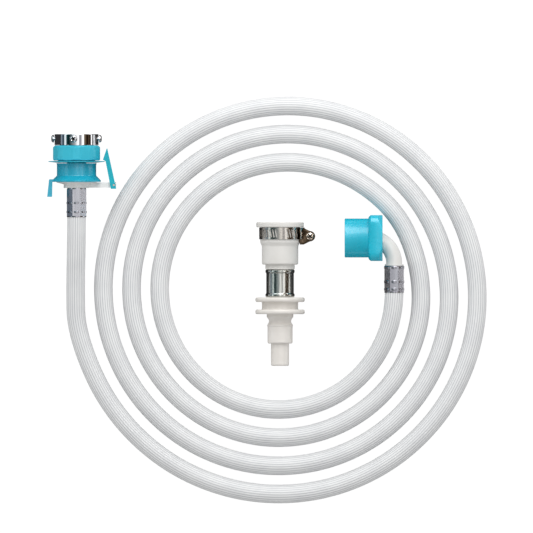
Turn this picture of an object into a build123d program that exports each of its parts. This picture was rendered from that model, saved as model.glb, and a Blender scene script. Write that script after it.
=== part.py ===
"""Water inlet hose kit: a coiled 3 m hose with a tap coupler on one end and an
elbow with a swivel nut on the other, and a loose clamp-on tap adapter.

Millimetres. The kit lies on a table at z = 0, seen from above along -Z. The
origin is under the middle of the fittings. Each turned fitting is drawn upright
about Z and then laid down along Y or X.
"""

import os
from math import cos, pi, radians, sin, sqrt, tan

from build123d import *

# ---------------------------------------------------------------- driving sizes
RUN_FIT = 0.05  # radial clearance of a turning or sliding fit
LOOSE = 0.3  # clearance between pieces that only pass each other
FACE_GAP = 0.2  # clearance between flat faces that turn on each other

# Hose
HOSE_R = 7.75
HOSE_BORE_R = 5.0
COIL_X, COIL_Y = 48.3, -35.6  # centre of the coil
COIL_START_R = 90.8  # centreline radius where the coil starts, at the elbow end
COIL_PITCH = 23.4  # how far each turn stands outside the last
COIL_TURNS = 3.5
STEPS_PER_TURN = 16
NUT_BULGE = 2.4  # the first turn stands out this much where it passes the nut
NUT_BULGE_TURN = 320 / 360  # and the place on the coil where it does
NUT_BULGE_SPREAD = 45 / 360

# Crimped ferrules, and the tails that the hose is pushed on
FERRULE_WALL = 0.3
FERRULE_BEAD = 0.3  # how far its rings stand out
CRIMP_SIDES = 8  # the crimp's flats, FERRULE_WALL thick at their middle
CRIMP_EDGE = 0.9  # the crimp starts this far inside either end
STOP_LENGTH = 4.0  # solid collar on a tail, gripped by the ferrule's first bead
HOSE_END_GAP = 0.2  # between that collar and the hose's end
TAIL_BORE_R = 3.4
TAIL_BARB = 0.45
TAIL_BARB_COUNT = 3
TAIL_BARB_LENGTH = 0.6
TAIL_SHORT = 1.5  # the tail ends this far inside its ferrule
TAP_FERRULE_LENGTH = 24.1
ELBOW_FERRULE_LENGTH = 22.4

# Coupler body: heights run from the ferrule (0) up to the tap
COUPLER_X = -123.3
COUPLER_Y = 51.5  # where the ferrule meets the neck
NECK_R = 10.65
NECK_HEIGHT = 3.1
SEAT_R = 16.5  # flange that the collar's spring stands on
SEAT_RISE = 1.5
SEAT_THICK = 1.0
BODY_WALL = 3.2
BODY_HEIGHT = 15.0
SOCKET_FLOOR = 3.6

# Plug of the tap nozzle, which turns in the coupler's socket
PLUG_R = 8.0
PLUG_END_GAP = 0.6
NOZZLE_BORE_R = 4.5

# Ball lock, O-ring and snap ring
BALL_R = 2.0
BALL_COUNT = 4
SEAL_ABOVE_FLOOR = 4.6
SEAL_SECTION_R = 1.0
CLIP_THICK = 0.8
CLIP_BELOW_TOP = 0.8
CLIP_GROOVE_DEPTH = 0.85
CLIP_HOLD = 0.55  # how far the collar's shelf rests on the clip
CLIP_GAP = 10.0

# Sliding collar
COLLAR_R = 16.3
COLLAR_WALL = 2.05
COLLAR_BRIM = 0.35  # how far its top edge turns out
COLLAR_BRIM_HEIGHT = 2.0
COLLAR_SKIRT = 0.54  # how far it hangs below the top of the spring seat
COLLAR_TRAVEL = 2.4
FLARE_R = 20.4
FLARE_HEIGHT = 5.2
FLARE_LIP = 1.2
LAND_GAP = 0.08  # collar on body
LAND_ABOVE_BALL = 0.4
LAND_BELOW_BALL = 4.6
SPRING_WIRE_R = 0.45
SPRING_TURNS = 2.5
TAB_THICK = (2.8, 4.1)  # finger tab on the flare, at its root and at its tip
TAB_REACH = 2.4
TAB_LEAN = 1.6
TAB_RISE = 2.2
TAB_LENGTH = 14.6
TAB_WIDTH = 10.0

# Latch lever on the coupler body's arm
ARM_BOTTOM = 0.25
ARM_HEIGHT = 4.4
ARM_WIDTH = 5.0
PIVOT_REACH = 7.55  # the pivot stands this far outside the catch flange
FORK_GAP = 0.15
LEVER_WIDTH = 9.0
LEVER_TIP = (2.0, 11.2)  # outwards and upwards from the catch flange's top edge
BARB_POINT = (-1.5, 1.0)
BARB_ROOT = (0.75, -0.3)
LEVER_FOOT_DROP = 3.15
LEVER_FOOT = (-2.4, 2.1)  # its two sides, from the pivot
PIN_R = 1.0
LEVER_SPRING_WIRE_R = 0.28
LEVER_SPRING_MEAN_R = 1.6
LEVER_SPRING_TURNS = 2
LEVER_SPRING_LEG = 2.5
LEVER_SPRING_ROOM = 1.9  # width cut from the arm's eye for the spring

# Tap nozzle above the coupler
CATCH_R = 23.35  # thin round flange that the lever hooks over
CATCH_THICK = 1.6
CATCH_RIM = (0.85, 1.4)  # its thin rim, above the flange's underside
BOSS_R = 15.4
BOSS_HEIGHT = 6.0
GASKET_THICK = 3.0
GASKET_EDGE = 0.6
GASKET_BORE_R = 5.2

# Lock ring and grip ring
LOCK_WALL = 4.05
LOCK_FLAT_DEPTH = 0.55  # how deep its faint flats are cut
LOCK_SIDES = 8
LOCK_HEIGHT = 12.7
LOCK_CHAMFER = 1.8
THREAD_FIT = 0.1
GRIP_BORE_R = 12.0
GRIP_WALL = 6.25
GRIP_NECK_WALL = 1.95
GRIP_FOOT_THICK = 1.5
GRIP_HEIGHT = 9.0
GRIP_TURN_DEG = 7.3  # how far the screws are turned from straight up

# Grip screws
GRIP_SCREW_COUNT = 4
GRIP_SCREW_RISE = 5.2  # above the ring's lower edge
GRIP_SCREW_R = 1.5
GRIP_SCREW_BACK = 0.1  # its point stands this far back from the bore
GRIP_HEAD_R = 3.15
GRIP_HEAD_THICK = 2.0
GRIP_HEAD_GAP = 0.85

# Swivel nut: heights run from its back (0) to its mouth
NUT_BACK_X = 130.7
NUT_Y = 10.0
NUT_LENGTH = 31.5
NUT_WALL = 4.09
NUT_COLLAR_STEP = 2.9
NUT_COLLAR_CORNER = 7.0
NUT_BACK_BEVEL_R = 20.5  # the collar's back corners are turned off from here, clear of the hose
NUT_COLLAR_LENGTH = 11.6
NUT_CHAMFER = 1.7  # on the collar's front
THREAD_R = 12.06  # inside radius of a three-quarter inch pipe thread
THREAD_LENGTH = 14.7
THREAD_RELIEF = 0.3
NUT_SHOULDER = 11.5
NUT_THROAT_LENGTH = 2.0
NUT_THROAT_GAP = 0.75
NUT_BACK_GAP = 1.2  # round the bent tube where it leaves the nut

# Elbow
ELBOW_R = 6.55
ELBOW_BORE_R = 3.6
BEND_R = 20.8
BEND_INSIDE = 0.3  # the bend starts this far behind the nut's shoulder
ELBOW_HEAD_GAP = 0.36
ELBOW_HEAD_THICK = 2.4
WASHER_THICK = 2.5
WASHER_RING = 6.6
ELBOW_RIM_THICK = 1.2
ELBOW_LEG = 2.1  # from the bend's end to the ferrule

# Clamp-on tap adapter: heights run from the nozzle's tip to the sleeve's mouth
ADAPTER_X = 45.6
ADAPTER_TIP_Y = -96.2
ADAPTER_BORE_R = 5.3
TIP_R, TIP_LENGTH = 7.5, 18.6
DOCK_R, DOCK_LENGTH = 10.4, 14.0
BEAD_STEP, BEAD_RISE = 0.45, 1.0  # raised edge at the top of the docking barrel
GROOVE_DEPTH, GROOVE_RISE = 1.8, 4.6
SHOULDER_STEP, SHOULDER_RISE = 0.65, 8.2
SPOOL_RISE = 10.4  # first flange above the docking barrel
SPOOL_R = 20.5
SPOOL_CORE_R = 15.0
SPOOL_FLANGE = 3.85
SPOOL_GAP = 6.2
SPOOL_ROUND = 1.6
STEM_WALL = 3.25
STEM_LENGTH = 29.1
TAIL_SLEEVE_WALL = 2.3
ADAPTER_FERRULE_WALL = 0.5
ADAPTER_FERRULE_BEAD = 0.65
ADAPTER_FERRULE_BEAD_LENGTH = 3.4
ADAPTER_FERRULE_LENGTH = 23.2
NECK_RING_STEP = 0.7
NECK_RING_HEIGHT = 3.8
SLEEVE_BORE_R = 12.25
CUP_WALL = 2.85
CUP_LENGTH = 15.4
CUP_FLOOR = 4.5
BAND_SEAT_WALL = 4.2
CUP_SHOULDER_RISE = 3.1
BAND_ABOVE_SHOULDER = 2.6
LIP_STEP = 3.3
LIP_HEIGHT = 4.3

# Worm-drive clamp on the sleeve
BAND_THICK = 0.85
BAND_WIDTH = 9.7
BAND_EDGE_GAP = 0.2  # between the band and the sleeve's lip
BAND_SLOT_WIDTH, BAND_SLOT_LENGTH = 1.2, 6.8
BAND_SLOT_PITCH_DEG = 8.0
BAND_SLOT_LEAN_DEG = 12
BAND_SLOT_STRETCHES = ((-37, -70), (-101, -320))  # angles about the sleeve
SADDLE_THICK = 2.0
LAP_GAP = 0.3
LAP_SWEEP_DEG = 62
LAP_ROOT_DEG = 5
WORM_R = 3.9
WORM_MESH_GAP = 0.5
WORM_OFFSET = -2.4  # of the worm from the band's middle
WORM_LENGTH = 9.6
WORM_JOURNAL_R = 2.2
WORM_TAIL = 1.2
HOUSING_LENGTH = 12.0
HOUSING_FOOT = 13.8
HOUSING_FOOT_HEIGHT = 2.2
HOUSING_WALL = 0.35
CLAMP_HEAD_R = 3.5
CLAMP_HEAD_THICK = 2.3
CLAMP_HEAD_GAP = 0.3

# --------------------------------------------------------- sizes worked out
FERRULE_BORE_R = HOSE_R + RUN_FIT
FERRULE_R = FERRULE_BORE_R + FERRULE_WALL
FERRULE_BEAD_R = FERRULE_R + FERRULE_BEAD
TAIL_R = HOSE_BORE_R - RUN_FIT
TAIL_ROOT_R = TAIL_R - TAIL_BARB

SOCKET_R = PLUG_R + RUN_FIT
BODY_R = SOCKET_R + BODY_WALL
SEAT_BOTTOM = NECK_HEIGHT + SEAT_RISE
SEAT_TOP = SEAT_BOTTOM + SEAT_THICK
BODY_TOP = SEAT_TOP + BODY_HEIGHT
PLUG_TIP = SOCKET_FLOOR + PLUG_END_GAP
SEAL_HEIGHT = SOCKET_FLOOR + SEAL_ABOVE_FLOOR
CLIP_TOP = BODY_TOP - CLIP_BELOW_TOP
CLIP_BOTTOM = CLIP_TOP - CLIP_THICK
CLIP_GROOVE_R = BODY_R - CLIP_GROOVE_DEPTH
BALL_RELIEF_R = SOCKET_R + 2 * BALL_R + LOOSE
CLIP_R = BALL_RELIEF_R + CLIP_HOLD
BALL_HEIGHT = CLIP_BOTTOM - BALL_R - CLIP_THICK
LAND_R = BODY_R + LAND_GAP
BALL_RING_R = LAND_R - RUN_FIT - BALL_R  # where the balls' centres stand
LAND_TOP = BALL_HEIGHT + LAND_ABOVE_BALL
LAND_BOTTOM = BALL_HEIGHT - LAND_BELOW_BALL
COLLAR_BOTTOM = SEAT_TOP - COLLAR_SKIRT
SPRING_ROOM_R = COLLAR_R - COLLAR_WALL
SPRING_MEAN_R = (BODY_R + SPRING_ROOM_R) / 2

ARM_TOP = ARM_BOTTOM + ARM_HEIGHT
PIVOT_R = CATCH_R + PIVOT_REACH
PIVOT_HEIGHT = ARM_BOTTOM + ARM_HEIGHT / 2
EYE_R = ARM_HEIGHT / 2

CATCH_BOTTOM = BODY_TOP + LOOSE
CATCH_TOP = CATCH_BOTTOM + CATCH_THICK
BOSS_TOP = CATCH_TOP + BOSS_HEIGHT
GASKET_TOP = BOSS_TOP + GASKET_THICK
LOCK_BORE_R = BOSS_R + THREAD_FIT
LOCK_R = LOCK_BORE_R + LOCK_WALL
LOCK_BOTTOM = CATCH_TOP + LOOSE
LOCK_TOP = LOCK_BOTTOM + LOCK_HEIGHT
GRIP_FOOT_TOP = GASKET_TOP + GRIP_FOOT_THICK
GRIP_FOOT_R = BOSS_R - FACE_GAP
GRIP_NECK_R = GRIP_BORE_R + GRIP_NECK_WALL
GRIP_R = GRIP_BORE_R + GRIP_WALL
GRIP_BOTTOM = LOCK_TOP + FACE_GAP
GRIP_TOP = GRIP_BOTTOM + GRIP_HEIGHT
GRIP_SCREW_HEIGHT = GRIP_BOTTOM + GRIP_SCREW_RISE

NUT_BARREL_R = THREAD_R + NUT_WALL
NUT_COLLAR_HALF = NUT_BARREL_R + NUT_COLLAR_STEP
BEND_START = NUT_SHOULDER - BEND_INSIDE
HEAD_BOTTOM = NUT_SHOULDER + LOOSE
HEAD_TOP = HEAD_BOTTOM + ELBOW_HEAD_THICK
LEG_X = NUT_BACK_X - BEND_START + BEND_R  # the elbow's leg
ELBOW_FERRULE_Y = NUT_Y - BEND_R - ELBOW_LEG

DOCK_TOP = TIP_LENGTH + DOCK_LENGTH
LOW_FLANGE = DOCK_TOP + SPOOL_RISE
HIGH_FLANGE = LOW_FLANGE + SPOOL_FLANGE + SPOOL_GAP
SPOOL_TOP = HIGH_FLANGE + SPOOL_FLANGE
STEM_R = ADAPTER_BORE_R + STEM_WALL
TAIL_SLEEVE_R = STEM_R + RUN_FIT + TAIL_SLEEVE_WALL
ADAPTER_FERRULE_R = TAIL_SLEEVE_R + RUN_FIT + ADAPTER_FERRULE_WALL
ADAPTER_FERRULE_TOP = SPOOL_TOP + FACE_GAP / 2 + ADAPTER_FERRULE_LENGTH
NECK_RING_R = ADAPTER_FERRULE_R + NECK_RING_STEP
CUP_BOTTOM = ADAPTER_FERRULE_TOP + FACE_GAP / 2 + NECK_RING_HEIGHT
CUP_R = SLEEVE_BORE_R + CUP_WALL
BAND_SEAT_R = SLEEVE_BORE_R + BAND_SEAT_WALL
CUP_SHOULDER = CUP_BOTTOM + CUP_LENGTH
BAND_BOTTOM = CUP_SHOULDER + CUP_SHOULDER_RISE + BAND_ABOVE_SHOULDER
BAND_TOP = BAND_BOTTOM + BAND_WIDTH
LIP_BOTTOM = BAND_TOP + BAND_EDGE_GAP
LIP_R = BAND_SEAT_R + LIP_STEP
LIP_TOP = LIP_BOTTOM + LIP_HEIGHT

BAND_BORE_R = BAND_SEAT_R + RUN_FIT
BAND_R = BAND_BORE_R + BAND_THICK
LAP_BORE_R = BAND_R + SADDLE_THICK + LAP_GAP
LAP_R = LAP_BORE_R + BAND_THICK
WORM_AXIS_R = LAP_R + WORM_MESH_GAP + WORM_R
WORM_HEIGHT = BAND_BOTTOM + BAND_WIDTH / 2 + WORM_OFFSET

# ------------------------------------------------------------ where things stand
COUPLER_Z = CATCH_R
NUT_Z = NUT_COLLAR_HALF
ADAPTER_Z = SPOOL_R
AT_COUPLER = Location((COUPLER_X, COUPLER_Y, COUPLER_Z), (-90, 0, 0))
AT_NUT = Location((NUT_BACK_X, NUT_Y, NUT_Z), (0, -90, 0))
AT_ELBOW_TAIL = Location((LEG_X, ELBOW_FERRULE_Y, NUT_Z), (-90, 0, 0))
AT_ADAPTER = Location((ADAPTER_X, ADAPTER_TIP_Y, ADAPTER_Z), (-90, 0, 0))


# ------------------------------------------------------------------- small tools
def turned(outline, rounds=()):
    """Solid turned about Z from (radius, height) corners; rounds holds (corner, radius)."""
    face = make_face(Polyline(*outline, close=True))
    for (radius, height), fillet_r in rounds:
        corner = face.vertices().sort_by_distance(Vector(radius, height, 0))[0]
        face = fillet(corner, fillet_r)
    return revolve(Plane.XZ * face, axis=Axis.Z)


def tube(outer, inner, bottom, top):
    """Plain ring between two heights."""
    return turned([(inner, bottom), (outer, bottom), (outer, top), (inner, top)])


def rod(radius, bottom, top):
    """Plain round bar between two heights."""
    return Pos(0, 0, bottom) * Cylinder(
        radius, top - bottom, align=(Align.CENTER, Align.CENTER, Align.MIN)
    )


def radial_rod(radius, near, far, height, angle):
    """Round bar that points out from the Z axis at a height and an angle."""
    bar = Rot(0, 90, 0) * rod(radius, near, far)
    return Rot(0, 0, angle) * (Pos(0, 0, height) * bar)


def barbed_tail(length):
    """Tail that a hose is pushed on: a stop collar, then three barbs, hanging below 0."""
    outline = [(0, 0), (HOSE_R, 0), (HOSE_R, -STOP_LENGTH)]
    barb = (length - STOP_LENGTH) / TAIL_BARB_COUNT
    for n in range(TAIL_BARB_COUNT):
        top = -STOP_LENGTH - n * barb
        outline += [
            (TAIL_ROOT_R, top),
            (TAIL_R, top - TAIL_BARB_LENGTH),
            (TAIL_R - TAIL_BARB / 2, top - barb + 0.1),
        ]
    outline += [(TAIL_ROOT_R, -length), (0, -length)]
    return turned(outline)


def ferrule(length, bore_r, wall_r, bead_r, beads, bead_height):
    """Crimped metal sleeve hanging below 0, with raised rings at the given depths."""
    slope = (bead_r - wall_r) * 1.5
    outline = [(bore_r, 0)]
    for depth in beads:
        top, bottom = depth, depth + bead_height
        if top > 0:
            outline += [(wall_r, -top), (bead_r, -top - slope)]
        else:
            outline += [(wall_r, 0), (bead_r, -slope)]
        outline += [(bead_r, -bottom + slope), (wall_r, -bottom)]
    if beads[-1] + bead_height < length:
        outline += [(wall_r, -length)]
    outline += [(bore_r, -length)]
    return turned(outline)


def crimped_ferrule(length, beads, bead_height):
    """Ferrule for the hose, its wall pressed to flats that face up, down and sideways."""
    half_side = 180 / CRIMP_SIDES
    flats = RegularPolygon(FERRULE_R, CRIMP_SIDES, major_radius=False, rotation=half_side)
    crimp = extrude(flats, amount=length - 2 * CRIMP_EDGE)
    crimp = Pos(0, 0, CRIMP_EDGE - length) * crimp - rod(FERRULE_BORE_R, -length, 0)
    return crimp + ferrule(length, FERRULE_BORE_R, FERRULE_R, FERRULE_BEAD_R, beads, bead_height)


# -------------------------------------------------------------------------- hose
# The stretches by each fitting, where the hose comes down to the table
ELBOW_END_POINTS = [
    (LEG_X, ELBOW_FERRULE_Y - STOP_LENGTH - HOSE_END_GAP, NUT_Z),
    (LEG_X, -53.8, NUT_Z),
    (127.0, -88.0, 12.7),
]
TAP_END_POINTS = [
    (-124.2, -28.0, 13.6),
    (COUPLER_X, 11.0, COUPLER_Z),
    (COUPLER_X, COUPLER_Y - STOP_LENGTH - HOSE_END_GAP, COUPLER_Z),
]


def coil_points():
    """Corners of the coil's polygon, from the elbow end out to the tap end."""
    reach = 1 / cos(pi / STEPS_PER_TURN)
    points = []
    for n in range(2, int(COIL_TURNS * STEPS_PER_TURN)):
        turn = (n + 0.5) / STEPS_PER_TURN
        bell = cos(pi * min(abs(turn - NUT_BULGE_TURN) / NUT_BULGE_SPREAD, 0.5)) ** 2
        radius = (COIL_START_R + COIL_PITCH * turn + NUT_BULGE * bell) * reach
        angle = 2 * pi * turn
        points.append((COIL_X + radius * cos(angle), COIL_Y - radius * sin(angle), HOSE_R))
    return points


def hose_route():
    """Every corner of the hose's route, from inside one ferrule to inside the other."""
    return ELBOW_END_POINTS + coil_points() + TAP_END_POINTS


def corner_radii(points):
    """Largest even bend at each corner: 0.45 of the shorter run over tan(half the turn)."""
    corners = [Vector(*p) for p in points]
    radii = []
    for before, here, after in zip(corners, corners[1:], corners[2:]):
        arriving, leaving = here - before, after - here
        half_turn = radians(arriving.get_angle(leaving) / 2)
        radii.append(0.45 * min(arriving.length, leaving.length) / tan(half_turn))
    return radii


def make_hose():
    """Hollow hose swept along straight runs joined by tangent arcs."""
    points = hose_route()
    radii = corner_radii(points)
    path = FilletPolyline(*points, radius=radii)
    start = Plane(origin=path @ 0, z_dir=path % 0)
    section = start * (Circle(HOSE_R) - Circle(HOSE_BORE_R))
    hose = sweep(section, path=path)
    area = pi * (HOSE_R**2 - HOSE_BORE_R**2)
    print("hose bends, mm:", " ".join(f"{r:.0f}" for r in radii))
    print(f"hose length {path.length:.0f} mm, volume {hose.volume:.0f} mm3,"
          f" section x length {area * path.length:.0f} mm3")
    return hose


# ------------------------------------------------------------------ tap coupler
def spring_side_box(extra):
    """Room beside the arm's eye that the lever's spring lies in."""
    return Pos(PIVOT_R, (ARM_WIDTH - LEVER_SPRING_ROOM) / 2, PIVOT_HEIGHT) * Box(
        2 * (EYE_R + 0.4), LEVER_SPRING_ROOM, 2 * (EYE_R + extra)
    )


def make_coupler_body():
    """White body: socket, spring seat, neck, barbed tail and the lever's arm."""
    shell = turned(
        [
            (0, 0),
            (NECK_R, 0),
            (NECK_R, NECK_HEIGHT),
            (SEAT_R, SEAT_BOTTOM),
            (SEAT_R, SEAT_TOP),
            (BODY_R, SEAT_TOP),
            (BODY_R, BODY_TOP),
            (0, BODY_TOP),
        ],
        rounds=[((NECK_R, 0), 0.5), ((SEAT_R, SEAT_BOTTOM), 0.3)],
    )
    arm = Pos(PIVOT_R / 2, 0, PIVOT_HEIGHT) * Box(PIVOT_R, ARM_WIDTH, 2 * EYE_R)
    eye = Pos(PIVOT_R, 0, PIVOT_HEIGHT) * (Rot(90, 0, 0) * Cylinder(EYE_R, ARM_WIDTH))
    body = shell + arm + eye + barbed_tail(TAP_FERRULE_LENGTH - TAIL_SHORT)
    body -= rod(TAIL_BORE_R, -TAP_FERRULE_LENGTH, BODY_TOP)
    body -= rod(SOCKET_R, SOCKET_FLOOR, BODY_TOP + 1)
    body -= tube(
        SOCKET_R + 2 * SEAL_SECTION_R + 0.1,
        SOCKET_R - 1,
        SEAL_HEIGHT - SEAL_SECTION_R - 0.1,
        SEAL_HEIGHT + SEAL_SECTION_R + 0.1,
    )
    body -= tube(BODY_R + 1, CLIP_GROOVE_R, CLIP_BOTTOM - 0.03, CLIP_TOP + 0.03)
    for n in range(BALL_COUNT):
        angle = 360 * (n + 0.5) / BALL_COUNT
        body -= radial_rod(BALL_R + RUN_FIT, SOCKET_R - 2, BODY_R + 2, BALL_HEIGHT, angle)
    body -= spring_side_box(0.5)
    body -= Pos(PIVOT_R, 0, PIVOT_HEIGHT) * (Rot(90, 0, 0) * Cylinder(PIN_R, 2 * ARM_WIDTH))
    return AT_COUPLER * body


def make_slide_collar():
    """Cyan collar: waist, flared foot, finger tab, and the steps that work the lock."""
    cavity_top = SEAT_TOP + COLLAR_TRAVEL + LOOSE
    skirt_r = SEAT_R + LOOSE + RUN_FIT
    flare_top = COLLAR_BOTTOM + FLARE_HEIGHT
    brim_bottom = BODY_TOP - COLLAR_BRIM_HEIGHT
    clip_room_r = CLIP_R + LOOSE
    shelf = CLIP_BOTTOM - RUN_FIT
    collar = turned(
        [
            (skirt_r, COLLAR_BOTTOM),
            (FLARE_R, COLLAR_BOTTOM),
            (FLARE_R, COLLAR_BOTTOM + FLARE_LIP),
            (COLLAR_R, flare_top),
            (COLLAR_R, brim_bottom),
            (COLLAR_R + COLLAR_BRIM, BODY_TOP),
            (clip_room_r, BODY_TOP),
            (clip_room_r, shelf),
            (BALL_RELIEF_R, shelf),
            (BALL_RELIEF_R, LAND_TOP),
            (LAND_R, LAND_TOP),
            (LAND_R, LAND_BOTTOM),
            (SPRING_ROOM_R, LAND_BOTTOM),
            (SPRING_ROOM_R, cavity_top),
            (skirt_r, cavity_top),
        ],
        rounds=[
            ((COLLAR_R, flare_top), 1.2),
            ((COLLAR_R, brim_bottom), 1.0),
            ((FLARE_R, COLLAR_BOTTOM), 0.4),
        ],
    )
    root_thick, tip_thick = TAB_THICK
    tab_r = FLARE_R + TAB_REACH
    tab_top = COLLAR_BOTTOM + TAB_RISE
    side = make_face(
        Polyline(
            (-FLARE_R + root_thick, tab_top),
            (-tab_r, tab_top),
            (-tab_r - TAB_LEAN, tab_top - TAB_LENGTH),
            (-tab_r - TAB_LEAN + tip_thick, tab_top - TAB_LENGTH),
            (-tab_r + root_thick, COLLAR_BOTTOM),
            (-FLARE_R + root_thick, COLLAR_BOTTOM),
            close=True,
        )
    )
    side = fillet(side.vertices().sort_by_distance(Vector(-tab_r, tab_top, 0))[0], 0.8)
    tab = extrude(Plane.XZ * side, amount=TAB_WIDTH / 2, both=True)
    collar += tab
    notch_top = ARM_TOP + COLLAR_TRAVEL + LOOSE
    notch = Box(
        2 * (FLARE_R - SPRING_ROOM_R),
        ARM_WIDTH + 2 * LOOSE,
        2 * (notch_top - COLLAR_BOTTOM),
    )
    collar -= Pos(FLARE_R, 0, COLLAR_BOTTOM) * notch
    return AT_COUPLER * collar


def make_collar_spring():
    """Compression spring between the body's seat and the collar."""
    height = LAND_BOTTOM - SEAT_TOP - 2 * SPRING_WIRE_R
    path = Helix(pitch=height / SPRING_TURNS, height=height, radius=SPRING_MEAN_R)
    wire = Plane(origin=path @ 0, z_dir=path % 0) * Circle(SPRING_WIRE_R)
    spring = Pos(0, 0, SEAT_TOP + SPRING_WIRE_R) * sweep(wire, path=path)
    return AT_COUPLER * spring


def make_retaining_clip():
    """Open snap ring in the body's groove, which stops the collar."""
    ring = tube(CLIP_R, CLIP_GROOVE_R + RUN_FIT, CLIP_BOTTOM, CLIP_TOP)
    ring -= Pos(0, -CLIP_R, CLIP_BOTTOM) * Box(CLIP_GAP, CLIP_R, 3 * CLIP_THICK)
    return AT_COUPLER * ring


def make_locking_balls():
    """Steel balls held in the nozzle's groove by the collar."""
    balls = [
        Rot(0, 0, 360 * (n + 0.5) / BALL_COUNT) * (Pos(BALL_RING_R, 0, BALL_HEIGHT) * Sphere(BALL_R))
        for n in range(BALL_COUNT)
    ]
    return AT_COUPLER * Compound(children=balls)


def make_coupler_seal():
    """O-ring in the socket, round the nozzle's plug."""
    ring = Pos(0, 0, SEAL_HEIGHT) * Torus(SOCKET_R + SEAL_SECTION_R + RUN_FIT, SEAL_SECTION_R)
    return AT_COUPLER * ring


def make_latch_lever():
    """Cyan hook that catches over the nozzle's flange, forked round the arm."""
    tip, barb, root = (
        (CATCH_R + out, CATCH_TOP + up) for out, up in (LEVER_TIP, BARB_POINT, BARB_ROOT)
    )
    foot = PIVOT_HEIGHT - LEVER_FOOT_DROP
    inner_foot, outer_foot = ((PIVOT_R + out, foot) for out in LEVER_FOOT)
    side = make_face(Polyline(tip, barb, root, inner_foot, outer_foot, close=True))
    for corner, size in ((tip, 0.3), (barb, 0.3), (root, 0.5)):
        side = fillet(side.vertices().sort_by_distance(Vector(*corner, 0))[0], size)
    lever = extrude(Plane.XZ * side, amount=LEVER_WIDTH / 2, both=True)
    slot_height = EYE_R + 2 * LOOSE
    lever -= Pos(PIVOT_R, 0, PIVOT_HEIGHT + slot_height - LEVER_WIDTH) * Box(
        2 * LEVER_WIDTH, ARM_WIDTH + 2 * FORK_GAP, 2 * LEVER_WIDTH
    )
    lever -= Pos(PIVOT_R, 0, PIVOT_HEIGHT) * (
        Rot(90, 0, 0) * Cylinder(PIN_R + RUN_FIT, 2 * LEVER_WIDTH)
    )
    return AT_COUPLER * lever


def make_lever_pin():
    """Steel pin through the lever's fork and the arm's eye."""
    pin = Pos(PIVOT_R, 0, PIVOT_HEIGHT) * (Rot(90, 0, 0) * Cylinder(PIN_R, LEVER_WIDTH))
    return AT_COUPLER * chamfer(pin.edges(), 0.15)


def make_lever_spring():
    """Small torsion spring round the pin, with one leg on the arm and one on the lever."""
    wire = LEVER_SPRING_WIRE_R
    pitch = 2 * wire + 0.06
    path = Helix(pitch=pitch, height=pitch * LEVER_SPRING_TURNS, radius=LEVER_SPRING_MEAN_R)
    coil = sweep(Plane(origin=path @ 0, z_dir=path % 0) * Circle(wire), path=path)
    straight = Rot(90, 0, 0) * Cylinder(wire, LEVER_SPRING_LEG)
    low = Pos(LEVER_SPRING_MEAN_R, -LEVER_SPRING_LEG / 2, 0) * straight
    high = Pos(LEVER_SPRING_MEAN_R, LEVER_SPRING_LEG / 2, pitch * LEVER_SPRING_TURNS) * straight
    spring = coil + low + high
    depth = ARM_WIDTH / 2 - LEVER_SPRING_ROOM + wire + RUN_FIT
    return AT_COUPLER * (Pos(PIVOT_R, depth, PIVOT_HEIGHT) * (Rot(-90, 0, 0) * spring))


def make_tap_nozzle():
    """Cyan nozzle: plug with its ball groove, thin catch flange and threaded boss."""
    groove_r = BALL_R + LOOSE
    body = turned(
        [
            (NOZZLE_BORE_R, PLUG_TIP),
            (PLUG_R, PLUG_TIP),
            (PLUG_R, CATCH_BOTTOM),
            (BOSS_R, CATCH_BOTTOM),
            (CATCH_R, CATCH_BOTTOM + CATCH_RIM[0]),
            (CATCH_R, CATCH_BOTTOM + CATCH_RIM[1]),
            (BOSS_R, CATCH_TOP),
            (BOSS_R, BOSS_TOP),
            (NOZZLE_BORE_R, BOSS_TOP),
        ],
        rounds=[((PLUG_R, PLUG_TIP), 1.2)],
    )
    body -= Pos(0, 0, BALL_HEIGHT) * Torus(BALL_RING_R, groove_r)
    return AT_COUPLER * body


def make_tap_seal():
    """Thick rubber washer that the tap's spout is pulled down on."""
    return AT_COUPLER * tube(BOSS_R - GASKET_EDGE, GASKET_BORE_R, BOSS_TOP, GASKET_TOP)


def make_lock_ring():
    """Cyan union ring: faint flats, a chamfered top and a lip over the grip ring's foot."""
    lip_r = GRIP_NECK_R + FACE_GAP
    lip_bottom = GRIP_FOOT_TOP + FACE_GAP
    ring = turned(
        [
            (LOCK_BORE_R, LOCK_BOTTOM),
            (LOCK_R, LOCK_BOTTOM),
            (LOCK_R, LOCK_TOP - LOCK_CHAMFER),
            (LOCK_R - LOCK_CHAMFER, LOCK_TOP),
            (lip_r, LOCK_TOP),
            (lip_r, lip_bottom),
            (LOCK_BORE_R, lip_bottom),
        ],
        rounds=[((LOCK_R, LOCK_BOTTOM), 1.2)],
    )
    flats = RegularPolygon(LOCK_R - LOCK_FLAT_DEPTH, LOCK_SIDES, major_radius=False, rotation=90)
    ring &= Pos(0, 0, LOCK_BOTTOM) * extrude(flats, amount=LOCK_TOP - LOCK_BOTTOM)
    return AT_COUPLER * ring


def screw_angle(n):
    """Direction of a grip screw about the coupler's axis; the first points up."""
    return -90 - GRIP_TURN_DEG + 360 * n / GRIP_SCREW_COUNT


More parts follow.
